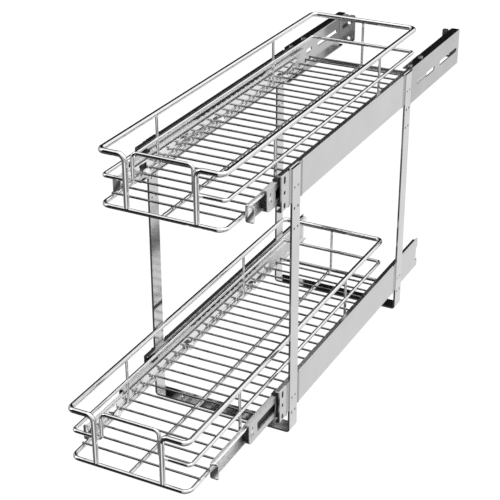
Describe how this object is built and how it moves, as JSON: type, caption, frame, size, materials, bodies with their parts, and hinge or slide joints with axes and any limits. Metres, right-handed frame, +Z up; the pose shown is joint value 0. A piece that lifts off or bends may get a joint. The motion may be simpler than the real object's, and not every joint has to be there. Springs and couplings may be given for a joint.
{
  "type": "pull-out cabinet basket",
  "caption": "Two-tier pull-out wire basket unit for a narrow cabinet; chromed baskets slide out on ball-bearing telescopic rails in a steel frame.",
  "frame": {"origin": "middle of the four screw holes in the floor strips, on the cabinet floor", "axes": "+X to the unit's right side, +Y to the back of the cabinet, +Z up"},
  "size_m": [0.186, 0.7592, 0.3855],
  "materials": {
    "upright_steel": "satin",
    "channel_steel": "satin",
    "bracket_steel": "satin",
    "rivet_steel": "satin",
    "screw_steel": "polished",
    "rail_steel": "bright zinc",
    "inner_rail_steel": "bright zinc",
    "black_plastic": "semi-matte",
    "ball_steel": "polished",
    "wire_chrome": "polished"
  },
  "bodies": {
    "frame": {"front_upright": "upright_steel", "rear_upright": "upright_steel", "left_rear_bracket": "bracket_steel", "right_rear_bracket": "bracket_steel", "channel_rivets": "rivet_steel", "bracket_screws": "screw_steel", "upper_left_channel": "channel_steel", "upper_left_outer_rail": "rail_steel", "upper_left_channel_stop": "black_plastic", "upper_right_channel": "channel_steel", "upper_right_outer_rail": "rail_steel", "upper_right_channel_stop": "black_plastic", "lower_left_channel": "channel_steel", "lower_left_outer_rail": "rail_steel", "lower_left_channel_stop": "black_plastic", "lower_right_channel": "channel_steel", "lower_right_outer_rail": "rail_steel", "lower_right_channel_stop": "black_plastic"},
    "upper_basket": {"upper_rim_wire": "wire_chrome", "upper_handle_wire": "wire_chrome", "upper_floor_wire": "wire_chrome", "upper_centre_wire": "wire_chrome", "upper_cross_wires": "wire_chrome", "upper_struts": "wire_chrome", "upper_left_inner_rail": "inner_rail_steel", "upper_right_inner_rail": "inner_rail_steel"},
    "lower_basket": {"lower_rim_wire": "wire_chrome", "lower_handle_wire": "wire_chrome", "lower_floor_wire": "wire_chrome", "lower_centre_wire": "wire_chrome", "lower_cross_wires": "wire_chrome", "lower_struts": "wire_chrome", "lower_left_inner_rail": "inner_rail_steel", "lower_right_inner_rail": "inner_rail_steel"},
    "upper_left_middle_rail_body": {"upper_left_middle_rail": "rail_steel", "upper_left_rail_bumper": "black_plastic"},
    "upper_left_outer_cage_body": {"upper_left_outer_cage": "black_plastic", "upper_left_outer_balls": "ball_steel"},
    "upper_left_inner_cage_body": {"upper_left_inner_cage": "black_plastic", "upper_left_inner_balls": "ball_steel"},
    "upper_right_middle_rail_body": {"upper_right_middle_rail": "rail_steel", "upper_right_rail_bumper": "black_plastic"},
    "upper_right_outer_cage_body": {"upper_right_outer_cage": "black_plastic", "upper_right_outer_balls": "ball_steel"},
    "upper_right_inner_cage_body": {"upper_right_inner_cage": "black_plastic", "upper_right_inner_balls": "ball_steel"},
    "lower_left_middle_rail_body": {"lower_left_middle_rail": "rail_steel", "lower_left_rail_bumper": "black_plastic"},
    "lower_left_outer_cage_body": {"lower_left_outer_cage": "black_plastic", "lower_left_outer_balls": "ball_steel"},
    "lower_left_inner_cage_body": {"lower_left_inner_cage": "black_plastic", "lower_left_inner_balls": "ball_steel"},
    "lower_right_middle_rail_body": {"lower_right_middle_rail": "rail_steel", "lower_right_rail_bumper": "black_plastic"},
    "lower_right_outer_cage_body": {"lower_right_outer_cage": "black_plastic", "lower_right_outer_balls": "ball_steel"},
    "lower_right_inner_cage_body": {"lower_right_inner_cage": "black_plastic", "lower_right_inner_balls": "ball_steel"}
  },
  "joints": [
    {"name": "upper_basket_slide", "type": "slide", "parent": "frame", "child": "upper_basket", "axis": [0, -1, 0], "range_m": [-0.0525, 0.3975]},
    {"name": "lower_basket_slide", "type": "slide", "parent": "frame", "child": "lower_basket", "axis": [0, -1, 0], "range_m": [-0.1385, 0.3115]},
    {"name": "upper_left_middle_rail_slide", "type": "slide", "parent": "frame", "child": "upper_left_middle_rail_body", "axis": [0, -1, 0], "range_m": [-0.02675, 0.19925]},
    {"name": "upper_left_outer_cage_slide", "type": "slide", "parent": "frame", "child": "upper_left_outer_cage_body", "axis": [0, -1, 0], "range_m": [-0.01362, 0.09988]},
    {"name": "upper_left_inner_cage_slide", "type": "slide", "parent": "frame", "child": "upper_left_inner_cage_body", "axis": [0, -1, 0], "range_m": [-0.03988, 0.29863]},
    {"name": "upper_right_middle_rail_slide", "type": "slide", "parent": "frame", "child": "upper_right_middle_rail_body", "axis": [0, -1, 0], "range_m": [-0.02675, 0.19925]},
    {"name": "upper_right_outer_cage_slide", "type": "slide", "parent": "frame", "child": "upper_right_outer_cage_body", "axis": [0, -1, 0], "range_m": [-0.01362, 0.09988]},
    {"name": "upper_right_inner_cage_slide", "type": "slide", "parent": "frame", "child": "upper_right_inner_cage_body", "axis": [0, -1, 0], "range_m": [-0.03988, 0.29863]},
    {"name": "lower_left_middle_rail_slide", "type": "slide", "parent": "frame", "child": "lower_left_middle_rail_body", "axis": [0, -1, 0], "range_m": [-0.06975, 0.15625]},
    {"name": "lower_left_outer_cage_slide", "type": "slide", "parent": "frame", "child": "lower_left_outer_cage_body", "axis": [0, -1, 0], "range_m": [-0.03513, 0.07838]},
    {"name": "lower_left_inner_cage_slide", "type": "slide", "parent": "frame", "child": "lower_left_inner_cage_body", "axis": [0, -1, 0], "range_m": [-0.10438, 0.23412]},
    {"name": "lower_right_middle_rail_slide", "type": "slide", "parent": "frame", "child": "lower_right_middle_rail_body", "axis": [0, -1, 0], "range_m": [-0.06975, 0.15625]},
    {"name": "lower_right_outer_cage_slide", "type": "slide", "parent": "frame", "child": "lower_right_outer_cage_body", "axis": [0, -1, 0], "range_m": [-0.03513, 0.07838]},
    {"name": "lower_right_inner_cage_slide", "type": "slide", "parent": "frame", "child": "lower_right_inner_cage_body", "axis": [0, -1, 0], "range_m": [-0.10438, 0.23412]}
  ],
  "couplings": [
    {"joint": "upper_left_middle_rail_slide", "follows": "upper_basket_slide", "ratio": 0.5},
    {"joint": "upper_left_outer_cage_slide", "follows": "upper_basket_slide", "ratio": 0.25},
    {"joint": "upper_left_inner_cage_slide", "follows": "upper_basket_slide", "ratio": 0.75},
    {"joint": "upper_right_middle_rail_slide", "follows": "upper_basket_slide", "ratio": 0.5},
    {"joint": "upper_right_outer_cage_slide", "follows": "upper_basket_slide", "ratio": 0.25},
    {"joint": "upper_right_inner_cage_slide", "follows": "upper_basket_slide", "ratio": 0.75},
    {"joint": "lower_left_middle_rail_slide", "follows": "lower_basket_slide", "ratio": 0.5},
    {"joint": "lower_left_outer_cage_slide", "follows": "lower_basket_slide", "ratio": 0.25},
    {"joint": "lower_left_inner_cage_slide", "follows": "lower_basket_slide", "ratio": 0.75},
    {"joint": "lower_right_middle_rail_slide", "follows": "lower_basket_slide", "ratio": 0.5},
    {"joint": "lower_right_outer_cage_slide", "follows": "lower_basket_slide", "ratio": 0.25},
    {"joint": "lower_right_inner_cage_slide", "follows": "lower_basket_slide", "ratio": 0.75}
  ]
}
